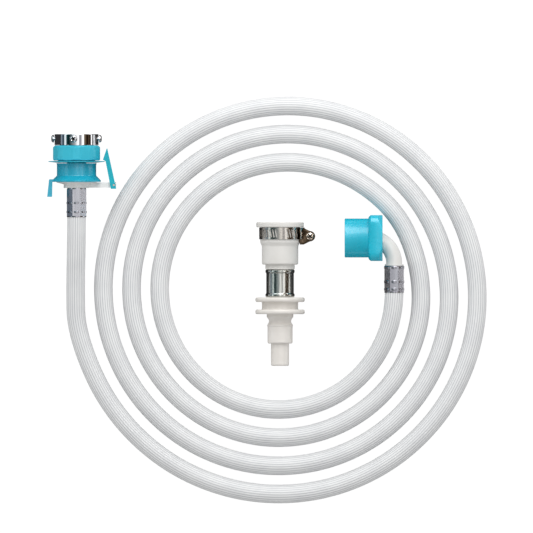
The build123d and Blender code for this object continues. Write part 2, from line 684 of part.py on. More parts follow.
def make_grip_ring():
    """Chromed ring that grips the tap's spout, with its foot under the lock ring's lip."""
    ring = turned(
        [
            (GRIP_BORE_R, GASKET_TOP),
            (GRIP_FOOT_R, GASKET_TOP),
            (GRIP_FOOT_R, GRIP_FOOT_TOP),
            (GRIP_NECK_R, GRIP_FOOT_TOP),
            (GRIP_NECK_R, GRIP_BOTTOM),
            (GRIP_R, GRIP_BOTTOM),
            (GRIP_R, GRIP_TOP),
            (GRIP_BORE_R, GRIP_TOP),
        ],
        rounds=[((GRIP_R, GRIP_TOP), 0.5)],
    )
    for n in range(GRIP_SCREW_COUNT):
        ring -= radial_rod(
            GRIP_SCREW_R + RUN_FIT, GRIP_BORE_R - 2, GRIP_R + 2, GRIP_SCREW_HEIGHT, screw_angle(n)
        )
    return AT_COUPLER * ring


def make_grip_screw(n):
    """Pan-head screw that closes on the spout from one side."""
    point = GRIP_BORE_R + GRIP_SCREW_BACK
    under = GRIP_R + GRIP_HEAD_GAP
    top = under + GRIP_HEAD_THICK
    screw = turned(
        [
            (0, point),
            (GRIP_SCREW_R, point),
            (GRIP_SCREW_R, under),
            (GRIP_HEAD_R, under),
            (GRIP_HEAD_R, top),
            (0, top),
        ],
        rounds=[((GRIP_HEAD_R, top), 1.0), ((GRIP_SCREW_R, point), 0.4)],
    )
    screw = Pos(0, 0, GRIP_SCREW_HEIGHT) * (Rot(0, 90, 0) * screw)
    return AT_COUPLER * (Rot(0, 0, screw_angle(n)) * screw)


def make_ferrule_tap_end():
    """Crimped ferrule over the coupler's tail, with two swaged rings."""
    return AT_COUPLER * crimped_ferrule(TAP_FERRULE_LENGTH, (11.4, 18.9), 2.0)


# --------------------------------------------------------- elbow and swivel nut
def make_elbow_nut():
    """Cyan nut: round barrel, square collar bevelled at both ends, clear of the elbow inside."""
    square = RectangleRounded(2 * NUT_COLLAR_HALF, 2 * NUT_COLLAR_HALF, NUT_COLLAR_CORNER)
    collar = extrude(square, amount=NUT_COLLAR_LENGTH)
    collar = chamfer(collar.faces().sort_by(Axis.Z)[-1].edges(), NUT_CHAMFER)
    bevel_front_r = NUT_BACK_BEVEL_R + NUT_COLLAR_LENGTH
    collar &= turned(
        [(0, 0), (NUT_BACK_BEVEL_R, 0), (bevel_front_r, NUT_COLLAR_LENGTH), (0, NUT_COLLAR_LENGTH)]
    )
    barrel = turned(
        [(0, 0), (NUT_BARREL_R, 0), (NUT_BARREL_R, NUT_LENGTH), (0, NUT_LENGTH)],
        rounds=[((NUT_BARREL_R, NUT_LENGTH), 0.6)],
    )
    relief_r = THREAD_R + THREAD_RELIEF
    throat_r = ELBOW_R + NUT_THROAT_GAP
    bend_inner = sqrt((BEND_R - ELBOW_R) ** 2 - BEND_START**2)
    back_r = BEND_R - bend_inner + NUT_BACK_GAP
    thread_bottom = NUT_LENGTH - THREAD_LENGTH
    inside = turned(
        [
            (0, -1),
            (back_r, -1),
            (back_r, 0),
            (throat_r, NUT_SHOULDER - NUT_THROAT_LENGTH),
            (throat_r, NUT_SHOULDER),
            (relief_r, NUT_SHOULDER),
            (relief_r, thread_bottom),
            (THREAD_R, thread_bottom),
            (THREAD_R, NUT_LENGTH + 1),
            (0, NUT_LENGTH + 1),
        ]
    )
    return AT_NUT * (collar + barrel - inside)


def elbow_path():
    """Centreline from the elbow's head, round the bend and down its leg to the rim."""
    head_x = NUT_BACK_X - HEAD_BOTTOM - ELBOW_HEAD_THICK / 2
    bend_x = NUT_BACK_X - BEND_START
    leg_top = NUT_Y - BEND_R
    level = Line((head_x, NUT_Y, NUT_Z), (bend_x, NUT_Y, NUT_Z))
    bend = TangentArc((bend_x, NUT_Y, NUT_Z), (LEG_X, leg_top, NUT_Z), tangent=(1, 0, 0))
    leg = Line((LEG_X, leg_top, NUT_Z), (LEG_X, ELBOW_FERRULE_Y - STOP_LENGTH / 2, NUT_Z))
    return Wire([level.edge(), bend.edge(), leg.edge()])


def make_elbow():
    """White elbow: head inside the nut, quarter bend, rim and barbed tail."""
    path = elbow_path()
    start = Plane(origin=path @ 0, z_dir=(1, 0, 0))
    pipe = sweep(start * Circle(ELBOW_R), path=path)
    bore = sweep(start * Circle(ELBOW_BORE_R), path=path)
    head = AT_NUT * rod(THREAD_R - ELBOW_HEAD_GAP, HEAD_BOTTOM, HEAD_TOP)
    mouth = AT_NUT * rod(ELBOW_BORE_R, HEAD_BOTTOM, HEAD_TOP + 1)
    rim = AT_ELBOW_TAIL * rod(HOSE_R, 0, ELBOW_RIM_THICK)
    tail = AT_ELBOW_TAIL * barbed_tail(ELBOW_FERRULE_LENGTH - TAIL_SHORT)
    tail_bore = AT_ELBOW_TAIL * rod(TAIL_BORE_R, -ELBOW_FERRULE_LENGTH, 0)
    return pipe + head + rim + tail - bore - mouth - tail_bore


def make_nut_washer():
    """Rubber washer on the elbow's head, inside the nut."""
    outer = THREAD_R - LOOSE
    return AT_NUT * tube(outer, outer - WASHER_RING, HEAD_TOP, HEAD_TOP + WASHER_THICK)


def make_ferrule_elbow_end():
    """Crimped ferrule over the elbow's tail: a bead at its mouth and two swaged rings."""
    return AT_ELBOW_TAIL * crimped_ferrule(ELBOW_FERRULE_LENGTH, (0.3, 12.2, 18.4), 2.6)


# ----------------------------------------------------------- clamp-on adapter
def make_spool_nozzle():
    """Off-white nozzle: tip, docking barrel, ball groove, two flanges and a stem."""
    bead = (DOCK_R + BEAD_STEP, DOCK_TOP + BEAD_RISE)
    groove = (DOCK_R - GROOVE_DEPTH, DOCK_TOP + GROOVE_RISE)
    shoulder_r = DOCK_R + SHOULDER_STEP
    plug = turned(
        [
            (0, 0),
            (TIP_R, 0),
            (TIP_R, TIP_LENGTH),
            (DOCK_R, TIP_LENGTH),
            (DOCK_R, DOCK_TOP),
            bead,
            groove,
            (shoulder_r, DOCK_TOP + SHOULDER_RISE),
            (shoulder_r, LOW_FLANGE + 0.5),
            (0, LOW_FLANGE + 0.5),
        ],
        rounds=[((TIP_R, 0), 1.4), ((DOCK_R, TIP_LENGTH), 1.3), (bead, 0.5), (groove, 3.0)],
    )
    low_2 = LOW_FLANGE + SPOOL_FLANGE
    spool = turned(
        [
            (0, LOW_FLANGE),
            (SPOOL_R, LOW_FLANGE),
            (SPOOL_R, low_2),
            (SPOOL_CORE_R, low_2),
            (SPOOL_CORE_R, HIGH_FLANGE),
            (SPOOL_R, HIGH_FLANGE),
            (SPOOL_R, SPOOL_TOP),
            (0, SPOOL_TOP),
        ],
        rounds=[
            ((SPOOL_R, LOW_FLANGE), SPOOL_ROUND),
            ((SPOOL_R, low_2), SPOOL_ROUND),
            ((SPOOL_R, HIGH_FLANGE), SPOOL_ROUND),
            ((SPOOL_R, SPOOL_TOP), SPOOL_ROUND),
            ((SPOOL_CORE_R, low_2), SPOOL_ROUND / 2),
            ((SPOOL_CORE_R, HIGH_FLANGE), SPOOL_ROUND / 2),
        ],
    )
    stem_top = SPOOL_TOP + STEM_LENGTH
    stem = rod(STEM_R, HIGH_FLANGE, stem_top)
    nozzle = plug + spool + stem - rod(ADAPTER_BORE_R, -1, stem_top + 1)
    return AT_ADAPTER * nozzle


def make_adapter_sleeve():
    """White clamp sleeve: cup with a lip and a band seat, and a tail over the stem."""
    tail_bore_r = STEM_R + RUN_FIT
    tail_bottom = SPOOL_TOP + LOOSE
    neck_bottom = ADAPTER_FERRULE_TOP + FACE_GAP / 2
    bore_floor = CUP_BOTTOM + CUP_FLOOR
    shoulder_top = CUP_SHOULDER + CUP_SHOULDER_RISE
    sleeve = turned(
        [
            (tail_bore_r, tail_bottom),
            (TAIL_SLEEVE_R, tail_bottom),
            (TAIL_SLEEVE_R, neck_bottom),
            (NECK_RING_R, neck_bottom),
            (NECK_RING_R, CUP_BOTTOM),
            (CUP_R, CUP_BOTTOM),
            (CUP_R, CUP_SHOULDER),
            (BAND_SEAT_R, shoulder_top),
            (BAND_SEAT_R, LIP_BOTTOM),
            (LIP_R, LIP_BOTTOM),
            (LIP_R, LIP_TOP),
            (SLEEVE_BORE_R, LIP_TOP),
            (SLEEVE_BORE_R, bore_floor),
            (tail_bore_r, bore_floor),
        ],
        rounds=[
            ((CUP_R, CUP_BOTTOM), 1.4),
            ((CUP_R, CUP_SHOULDER), 2.5),
            ((BAND_SEAT_R, shoulder_top), 1.2),
            ((LIP_R, LIP_TOP), 1.2),
            ((LIP_R, LIP_BOTTOM), 0.8),
        ],
    )
    return AT_ADAPTER * sleeve


def make_adapter_ferrule():
    """Polished sleeve crimped round the tail, with a bead at each end."""
    sleeve = ferrule(
        ADAPTER_FERRULE_LENGTH,
        TAIL_SLEEVE_R + RUN_FIT,
        ADAPTER_FERRULE_R,
        ADAPTER_FERRULE_R + ADAPTER_FERRULE_BEAD,
        (0, ADAPTER_FERRULE_LENGTH - ADAPTER_FERRULE_BEAD_LENGTH),
        ADAPTER_FERRULE_BEAD_LENGTH,
    )
    return AT_ADAPTER * (Pos(0, 0, ADAPTER_FERRULE_TOP) * sleeve)


def ring_sector(outer, inner, bottom, top, first_deg, last_deg):
    """Part of a ring between two angles about Z."""
    face = make_face(Polyline((inner, bottom), (outer, bottom), (outer, top), (inner, top), close=True))
    return Rot(0, 0, first_deg) * revolve(
        Plane.XZ * face, axis=Axis.Z, revolution_arc=last_deg - first_deg
    )


def make_clamp_band():
    """Slotted steel band round the sleeve, its end lapping back over the saddle."""
    band = tube(BAND_R, BAND_BORE_R, BAND_BOTTOM, BAND_TOP)
    slot = Rot(BAND_SLOT_LEAN_DEG, 0, 0) * Box(4 * BAND_THICK, BAND_SLOT_WIDTH, BAND_SLOT_LENGTH)
    slot = Pos(BAND_R, 0, (BAND_BOTTOM + BAND_TOP) / 2) * slot
    for first, last in BAND_SLOT_STRETCHES:
        for n in range(int(abs(last - first) / BAND_SLOT_PITCH_DEG) + 1):
            band -= Rot(0, 0, first - n * BAND_SLOT_PITCH_DEG) * slot
    half = LAP_SWEEP_DEG / 2
    lap = ring_sector(LAP_R, LAP_BORE_R, BAND_BOTTOM, BAND_TOP, -half, half)
    root = ring_sector(LAP_R, BAND_BORE_R, BAND_BOTTOM, BAND_TOP, half - LAP_ROOT_DEG, half)
    return AT_ADAPTER * (band + lap + root)


def worm_axis(shape):
    """Lay a shape drawn about Z along the worm's axis, with its top towards the viewer."""
    return Pos(WORM_AXIS_R, 0, WORM_HEIGHT) * (Rot(90, 0, 0) * shape)


def make_clamp_housing():
    """Pressed housing: a saddle on the band, tapering up to the bore of the worm."""
    crown_r = WORM_R + RUN_FIT + HOUSING_WALL
    foot = HOUSING_FOOT / 2
    foot_top = BAND_R + HOUSING_FOOT_HEIGHT
    side = make_face(
        Polyline(
            (BAND_BORE_R - BAND_THICK, -foot),
            (foot_top, -foot),
            (WORM_AXIS_R, -crown_r),
            (WORM_AXIS_R, crown_r),
            (foot_top, foot),
            (BAND_BORE_R - BAND_THICK, foot),
            close=True,
        )
    )
    side += Pos(WORM_AXIS_R, 0) * Circle(crown_r)
    housing = Pos(0, 0, WORM_HEIGHT) * extrude(
        Plane.XZ * side, amount=HOUSING_LENGTH / 2, both=True
    )
    housing -= rod(BAND_R + RUN_FIT, BAND_BOTTOM - BAND_WIDTH, BAND_TOP + BAND_WIDTH)
    housing -= tube(
        LAP_R + RUN_FIT, LAP_BORE_R - RUN_FIT, BAND_BOTTOM - RUN_FIT, BAND_TOP + RUN_FIT
    )
    housing -= worm_axis(Cylinder(WORM_R + RUN_FIT, WORM_LENGTH + FACE_GAP))
    housing -= worm_axis(Cylinder(WORM_JOURNAL_R + RUN_FIT, 2 * HOUSING_LENGTH))
    return AT_ADAPTER * housing


def make_clamp_screw():
    """Worm screw with a pan head towards the viewer."""
    end = HOUSING_LENGTH / 2 + WORM_TAIL
    head = HOUSING_LENGTH / 2 + CLAMP_HEAD_GAP
    screw = turned(
        [
            (0, -end),
            (WORM_JOURNAL_R, -end),
            (WORM_JOURNAL_R, -WORM_LENGTH / 2),
            (WORM_R, -WORM_LENGTH / 2),
            (WORM_R, WORM_LENGTH / 2),
            (WORM_JOURNAL_R, WORM_LENGTH / 2),
            (WORM_JOURNAL_R, head),
            (CLAMP_HEAD_R, head),
            (CLAMP_HEAD_R, head + CLAMP_HEAD_THICK),
            (0, head + CLAMP_HEAD_THICK),
        ],
        rounds=[((CLAMP_HEAD_R, head + CLAMP_HEAD_THICK), 1.2)],
    )
    return AT_ADAPTER * worm_axis(screw)


# ------------------------------------------------------------------ the nodes
NODES = {
    "hose": make_hose,
    "ferrule_tap_end": make_ferrule_tap_end,
    "ferrule_elbow_end": make_ferrule_elbow_end,
    "coupler_body": make_coupler_body,
    "slide_collar": make_slide_collar,
    "collar_spring": make_collar_spring,
    "retaining_clip": make_retaining_clip,
    "locking_balls": make_locking_balls,
    "coupler_seal": make_coupler_seal,
    "latch_lever": make_latch_lever,
    "lever_pin": make_lever_pin,
    "lever_spring": make_lever_spring,
    "tap_nozzle": make_tap_nozzle,
    "tap_seal": make_tap_seal,
    "lock_ring": make_lock_ring,
    "grip_ring": make_grip_ring,
    "elbow": make_elbow,
    "elbow_nut": make_elbow_nut,
    "nut_washer": make_nut_washer,
    "adapter_sleeve": make_adapter_sleeve,
    "clamp_band": make_clamp_band,
    "clamp_housing": make_clamp_housing,
    "clamp_screw": make_clamp_screw,
    "adapter_ferrule": make_adapter_ferrule,
    "spool_nozzle": make_spool_nozzle,
}

os.makedirs("parts", exist_ok=True)
for node, make in NODES.items():
    export_step(make(), f"parts/{node}.step")
for n in range(GRIP_SCREW_COUNT):
    export_step(make_grip_screw(n), f"parts/grip_screw_{n + 1}.step")
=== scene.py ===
"""Visual model of a water inlet hose kit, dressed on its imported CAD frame.

Metres, in the CAD's own frame.
"""

import bpy
import numpy as np
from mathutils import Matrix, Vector


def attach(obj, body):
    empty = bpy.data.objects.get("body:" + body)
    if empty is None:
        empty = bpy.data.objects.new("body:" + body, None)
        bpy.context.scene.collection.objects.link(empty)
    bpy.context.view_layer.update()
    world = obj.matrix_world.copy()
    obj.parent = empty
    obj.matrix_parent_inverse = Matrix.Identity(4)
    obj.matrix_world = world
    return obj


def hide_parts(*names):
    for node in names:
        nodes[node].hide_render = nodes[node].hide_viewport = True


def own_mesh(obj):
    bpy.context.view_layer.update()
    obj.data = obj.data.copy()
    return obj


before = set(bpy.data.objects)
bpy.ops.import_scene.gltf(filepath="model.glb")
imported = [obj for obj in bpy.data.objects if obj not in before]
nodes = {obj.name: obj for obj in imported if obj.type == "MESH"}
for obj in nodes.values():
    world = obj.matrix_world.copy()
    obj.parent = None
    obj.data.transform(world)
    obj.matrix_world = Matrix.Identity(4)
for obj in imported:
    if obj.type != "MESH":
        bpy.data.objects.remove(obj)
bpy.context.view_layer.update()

MM = 0.001

# ---------------------------------------------------------------- places and sizes, mm
COUPLER = np.array([-123.3, 51.5, 23.35])  # where the neck meets its ferrule
NUT_BACK = np.array([130.7, 10.0, 19.05])  # middle of the nut's back
LEG_X = 140.3  # the elbow's leg
CLAMP_SCREW = np.array([70.5, 11.45, 20.5])  # middle of the worm


# ---------------------------------------------------------------- surfaces
def grid_faces(rows, columns, wrap_rows=False):
    """Quads between neighbouring points of a rows x columns grid, closed across its columns."""
    last = rows if wrap_rows else rows - 1
    i, j = np.meshgrid(np.arange(last), np.arange(columns), indexing="ij")
    down, across = (i + 1) % rows, (j + 1) % columns
    corners = [i * columns + j, i * columns + across, down * columns + across, down * columns + j]
    return np.stack(corners, axis=-1).reshape(-1, 4)


def capped(points, first, last):
    """A grid closed by one point before its first row and one past its last: points and faces."""
    rows, columns = points.shape[:2]
    ring = np.arange(columns)
    following = (ring + 1) % columns
    pole, base = rows * columns, (rows - 1) * columns
    faces = grid_faces(rows, columns).tolist()
    faces += np.stack([np.full(columns, pole), following, ring], axis=-1).tolist()
    faces += np.stack([np.full(columns, pole + 1), base + ring, base + following], axis=-1).tolist()
    return np.concatenate([points.reshape(-1, 3), [first, last]]), faces


def new_piece(name, points, faces, body, uv=None, crease=180, inside_out=False):
    """A closed mesh object from points and faces, riding on a body, creased past an angle.

    With inside_out, faces that the grid laid inwards are turned to point outwards.
    """
    mesh = bpy.data.meshes.new(name)
    mesh.from_pydata(points.tolist(), [], [f[::-1] for f in faces] if inside_out else faces)
    mesh.update()
    if uv is not None:
        layer = mesh.uv_layers.new(name="UVMap")
        corner = np.empty(len(mesh.loops), dtype=np.int32)
        mesh.loops.foreach_get("vertex_index", corner)
        layer.data.foreach_set("uv", uv[corner].ravel())
    mesh.polygons.foreach_set("use_smooth", np.full(len(mesh.polygons), True))
    mesh.set_sharp_from_angle(angle=np.radians(crease))
    piece = bpy.data.objects.new(name, mesh)
    bpy.context.scene.collection.objects.link(piece)
    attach(piece, body)
    return piece


# ---------------------------------------------------------------- colours and finishes
def colour(hex_code):
    """Linear RGBA of an sRGB hex colour.

    Each channel is c / 12.92 below 0.04045, and ((c + 0.055) / 1.055)^2.4 above it.
    """
    c = np.array([int(hex_code[i : i + 2], 16) for i in (0, 2, 4)]) / 255
    linear = np.where(c <= 0.04045, c / 12.92, ((c + 0.055) / 1.055) ** 2.4)
    return (*linear.tolist(), 1.0)


class NodeTree:
    """Short ways to add the nodes that the finishes, the table and the studio need."""

    def __init__(self, tree):
        self.tree = tree

    def add(self, kind, inputs=None, **settings):
        """A node with its settings, and its inputs set to values or linked to sockets."""
        node = self.tree.nodes.new(kind)
        for setting, value in settings.items():
            setattr(node, setting, value)
        for socket, value in (inputs or {}).items():
            if isinstance(value, bpy.types.NodeSocket):
                self.tree.links.new(value, node.inputs[socket])
            else:
                node.inputs[socket].default_value = value
        return node

    def spread(self, value, low, high, start=0.3, end=0.7):
        """Value from start..end brought to low..high."""
        limits = {"From Min": start, "From Max": end, "To Min": low, "To Max": high}
        return self.add("ShaderNodeMapRange", {"Value": value, **limits}).outputs["Result"]

    def mix(self, factor, first, second, blend="MIX"):
        """Two colours mixed by a factor."""
        inputs = {0: factor, 6: first, 7: second}
        return self.add("ShaderNodeMix", inputs, data_type="RGBA", blend_type=blend).outputs[2]

    def math(self, operation, first, second=0.0, third=0.0):
        """One arithmetic step on sockets or numbers."""
        inputs = {0: first, 1: second, 2: third}
        return self.add("ShaderNodeMath", inputs, operation=operation).outputs[0]

    def ramp(self, value, stops):
        """Colour of a value from 0 to 1 between (place, hex colour) stops."""
        node = self.add("ShaderNodeValToRGB", {0: value})
        elements = node.color_ramp.elements
        while len(elements) < len(stops):
            elements.new(0.5)
        for element, (place, shade) in zip(elements, stops):
            element.position = place
            element.color = colour(shade)
        return node.outputs["Color"]

    def blend_shaders(self, factor, first, second):
        """Two shaders mixed by a factor."""
        return self.add("ShaderNodeMixShader", {0: factor, 1: first, 2: second}).outputs[0]


class Finish(NodeTree):
    """A procedural material on the Principled shader, in the piece's own coordinates."""

    def __init__(self, name, roughness, metallic=0.0, specular=0.5):
        self.material = bpy.data.materials.new(name)
        self.material.use_nodes = True
        super().__init__(self.material.node_tree)
        self.shader = self.tree.nodes["Principled BSDF"]
        self.shader.inputs["Roughness"].default_value = roughness
        self.shader.inputs["Metallic"].default_value = metallic
        self.shader.inputs["Specular IOR Level"].default_value = specular
        self.place = self.add("ShaderNodeTexCoord").outputs["Object"]

    def link(self, output, socket):
        """Feed an output into one of the shader's sockets."""
        self.tree.links.new(output, self.shader.inputs[socket])

    def noise(self, scale, detail=3.0, stretch=(1, 1, 1)):
        """Noise of a size given in cycles per metre, squeezed or stretched along the axes."""
        mapping = self.add("ShaderNodeMapping", {"Vector": self.place, "Scale": stretch})
        inputs = {"Vector": mapping.outputs["Vector"], "Scale": scale, "Detail": detail}
        return self.add("ShaderNodeTexNoise", inputs).outputs["Fac"]

    def uv(self):
        """The two coordinates of the piece's own map."""
        place = self.add("ShaderNodeUVMap", uv_map="UVMap").outputs["UV"]
        parts = self.add("ShaderNodeSeparateXYZ", {0: place}).outputs
        return parts["X"], parts["Y"]

    def bump(self, height, strength, distance):
        """Bump from a height, on top of any bump before it."""
        settings = {"Height": height, "Strength": strength, "Distance": distance}
        normal = self.shader.inputs["Normal"]
        if normal.is_linked:
            settings["Normal"] = normal.links[0].from_socket
        self.link(self.add("ShaderNodeBump", settings).outputs["Normal"], "Normal")

    def put_on(self, *pieces):
        """Give the pieces this material."""
        for piece in pieces:
            piece.data.materials.clear()
            piece.data.materials.append(self.material)


def moulded_plastic(name, base, shade, roughness, grain, specular=0.5):
    """Moulded plastic: slight clouding of the colour, uneven gloss, and a fine skin grain."""
    f = Finish(name, roughness, specular=specular)
    f.link(f.mix(f.spread(f.noise(45, 4), 0, 1), colour(base), colour(shade)), "Base Color")
    f.link(f.spread(f.noise(160, 5), roughness - 0.04, roughness + 0.06), "Roughness")
    f.bump(f.noise(1400, 2), grain, 0.0001)
    return f


def plated_metal(name, base, shade, low, high, brushed=(1, 1, 1), grain=0.1, scale=70):
    """Bright metal: drawn scratches along the brushing, smears in the gloss, faint stains."""
    f = Finish(name, low, metallic=1.0)
    stain = f.spread(f.noise(scale, 4, brushed), 0, 1, 0.38, 0.62)
    f.link(f.mix(stain, colour(base), colour(shade)), "Base Color")
    scratch = f.noise(900, 3, brushed)
    f.link(f.spread(scratch, low, high), "Roughness")
    f.bump(scratch, grain, 0.00004)
    return f


ALONG_Y, ALONG_Z = (1, 0.06, 1), (1, 1, 0.1)

cyan_satin = moulded_plastic("cyan_satin_plastic", "1AB0C6", "12A4BA", 0.3, 0.25, 0.7)
cyan_nut = moulded_plastic("cyan_nut_plastic", "08C0DA", "06B2CC", 0.26, 0.2, 0.8)
cyan_lever = moulded_plastic("cyan_lever_plastic", "18B0C0", "10A4B6", 0.36, 0.25, 0.35)
cyan_union = moulded_plastic("cyan_union_plastic", "3CC0D6", "2AB2CA", 0.38, 0.5)
cyan_gloss = moulded_plastic("cyan_gloss_plastic", "1EACC8", "16A2BE", 0.26, 0.08, 0.8)
white_acetal = moulded_plastic("white_acetal", "EFF0EF", "E6E7E6", 0.3, 0.12)
elbow_acetal = moulded_plastic("elbow_acetal", "E9E8E5", "E1E0DD", 0.34, 0.15)
sleeve_rubber = moulded_plastic("warm_white_elastomer", "E3E1DD", "DAD8D3", 0.5, 0.3)
nozzle_plastic = moulded_plastic("off_white_plastic", "ECE8E3", "E2DDD6", 0.36, 0.15)
black_rubber = moulded_plastic("black_rubber", "1C1D1F", "26272A", 0.6, 0.5)
mirror_chrome = plated_metal("mirror_chrome", "E4E4E6", "D4D5D8", 0.02, 0.06, ALONG_Y, 0.04)
crimped_metal = plated_metal("crimped_aluminium", "B6B5BB", "96959C", 0.14, 0.24, ALONG_Y, 0.1, 120)
drawn_metal = plated_metal("drawn_steel", "D0D0CB", "A6A6A0", 0.16, 0.28, ALONG_Y, 0.1, 500)
zinc_steel = plated_metal("zinc_plated_steel", "C9C6C0", "A9A49C", 0.14, 0.34)
band_steel = plated_metal("stainless_strip", "C6C1BB", "B2ACA5", 0.14, 0.26, ALONG_Z, 0.08)
housing_steel = plated_metal("pressed_steel", "665646", "2E241A", 0.16, 0.34, grain=0.2, scale=240)

for node, finish in {
    "ferrule_tap_end": crimped_metal,
    "ferrule_elbow_end": crimped_metal,
    "coupler_body": white_acetal,
    "slide_collar": cyan_gloss,
    "collar_spring": zinc_steel,
    "retaining_clip": zinc_steel,
    "locking_balls": mirror_chrome,
    "coupler_seal": black_rubber,
    "latch_lever": cyan_lever,
    "lever_pin": zinc_steel,
    "lever_spring": zinc_steel,
    "tap_nozzle": cyan_satin,
    "tap_seal": black_rubber,
    "lock_ring": cyan_union,
    "grip_ring": mirror_chrome,
    "elbow": elbow_acetal,
    "nut_washer": black_rubber,
    "adapter_sleeve": sleeve_rubber,
    "clamp_band": band_steel,
    "clamp_housing": housing_steel,
    "adapter_ferrule": drawn_metal,
    "spool_nozzle": nozzle_plastic,
}.items():
    finish.put_on(nodes[node])


# ---------------------------------------------------------------- the coupler's spring
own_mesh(nodes["collar_spring"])


# ---------------------------------------------------------------- the hose
HOSE_R = 7.75 * MM
COIL_X, COIL_Y = 48.3, -35.6
COIL_START_R = 90.8
COIL_PITCH = 23.4
STEPS_PER_TURN = 16
COIL_STEPS = (2, 56)
NUT_BULGE = 2.4
NUT_BULGE_TURN = 320 / 360
NUT_BULGE_SPREAD = 45 / 360
RIBS = 24
RIB_DEPTH = 0.28 * MM


def coil_corners():
    """Corners of the coil: R = start + pitch turn + bulge cos^2, clockwise round its centre."""
    turn = (np.arange(*COIL_STEPS) + 0.5) / STEPS_PER_TURN
    away = np.minimum(np.abs(turn - NUT_BULGE_TURN) / NUT_BULGE_SPREAD, 0.5)
    radius = COIL_START_R + COIL_PITCH * turn + NUT_BULGE * np.cos(np.pi * away) ** 2
    radius = radius / np.cos(np.pi / STEPS_PER_TURN)
    x = COIL_X + radius * np.cos(2 * np.pi * turn)
    y = COIL_Y - radius * np.sin(2 * np.pi * turn)
    return np.stack([x, y, np.full_like(x, HOSE_R / MM)], axis=-1)


def hose_line():
    """Points along a smooth spline through the elbow's end, the coil and the tap's end."""
    leg_z = NUT_BACK[2]
    neck_x, _, neck_z = COUPLER
    from_elbow = [(LEG_X, -33.0, leg_z), (LEG_X, -53.8, leg_z), (127.0, -88.0, 12.7)]
    to_tap = [(-124.2, -28.0, 13.6), (neck_x, 11.0, neck_z), (neck_x, 29.6, neck_z)]
    corners = np.concatenate([from_elbow, coil_corners(), to_tap]) * MM
    curve = bpy.data.curves.new("hose_line", "CURVE")
    curve.dimensions = "3D"
    curve.resolution_u = 15
    spline = curve.splines.new("NURBS")
    spline.points.add(len(corners) - 1)
    spline.points.foreach_set("co", np.pad(corners, ((0, 0), (0, 1)), constant_values=1).ravel())
    spline.order_u = 3
    spline.use_endpoint_u = True
    holder = bpy.data.objects.new("hose_line", curve)
    line = bpy.data.meshes.new_from_object(holder)
    points = np.empty(3 * len(line.vertices))
    line.vertices.foreach_get("co", points)
    bpy.data.objects.remove(holder)
    bpy.data.meshes.remove(line)
    bpy.data.curves.remove(curve)
    return points.reshape(-1, 3)


def ribbed_tube(line, columns):
    """Line + r(a) (cos a side + sin a up), with r(a) = radius - depth (1 - |cos(ribs a / 2)|).

    Side is level and square to the line, and up is square to both, so the ribs never twist.
    """
    ahead = np.gradient(line, axis=0)
    ahead /= np.linalg.norm(ahead, axis=1, keepdims=True)
    side = np.cross((0, 0, 1), ahead)
    side /= np.linalg.norm(side, axis=1, keepdims=True)
    up = np.cross(ahead, side)
    a = np.linspace(0, 2 * np.pi, columns, endpoint=False)
    r = HOSE_R - RIB_DEPTH * (1 - np.abs(np.cos(RIBS * a / 2)))
    ring = (r * np.cos(a))[:, None, None] * side + (r * np.sin(a))[:, None, None] * up
    return np.moveaxis(line + ring, 0, 1)


def make_hose():
    """The ribbed hose, closed at both ends, which are hidden in its ferrules."""
    line = hose_line()
    columns = 4 * RIBS
    points, faces = capped(ribbed_tube(line, columns), line[0], line[-1])
    steps = np.linalg.norm(np.diff(line, axis=0), axis=1)
    along = np.concatenate([[0], np.cumsum(steps)])
    around = np.arange(columns) / columns
    uv = np.stack(np.meshgrid(along, around, indexing="ij"), axis=-1).reshape(-1, 2)
    uv = np.concatenate([uv, [[0, 0], [along[-1], 0]]])
    hose = new_piece("ribbed_hose", points, faces, "hose_and_body", uv)
    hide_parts("hose")
    return hose


def hose_pvc():
    """White PVC: painted shade darkens the valleys between ribs; clouded, with a satin skin."""
    f = Finish("ribbed_white_pvc", 0.34, specular=0.3)
    along, around = f.uv()
    rib = f.math("ABSOLUTE", f.math("COSINE", f.math("MULTIPLY", around, np.pi * RIBS)))
    # Painted shade: the colour turns grey in the valleys between the ribs, where shade falls.
    painted_valley_shade = f.spread(rib, 1, 0, 0.0, 0.6)
    body = f.mix(f.spread(f.noise(60, 4), 0, 1), colour("EDEEEE"), colour("E5E6E7"))
    f.link(f.mix(painted_valley_shade, body, colour("AEB0B4")), "Base Color")
    f.link(f.spread(f.noise(220), 0.28, 0.42), "Roughness")
    f.bump(f.noise(900, 2), 0.12, 0.0001)
    return f


hose_pvc().put_on(make_hose())


# ---------------------------------------------------------------- screws with cross recesses
SCREW_COLUMNS = 96
SLOT_WALL = 0.12  # mm over which a slot's wall falls
SLOT_SLOPE = 1.6  # how steeply a slot ends
RECESS_DEPTH = 0.62  # share of the head's thickness


def cross_recess(x, y, reach, width):
    """Share of a cross recess's depth: 1 in two crossed slots, falling off along each slot."""
    slots = []
    for along, across in ((x, y), (y, x)):
        wall = np.clip((width / 2 - np.abs(across)) / SLOT_WALL + 0.5, 0, 1)
        slots.append(wall * np.clip(SLOT_SLOPE * (1 - np.abs(along) / reach), 0, 1))
    return np.maximum(*slots)


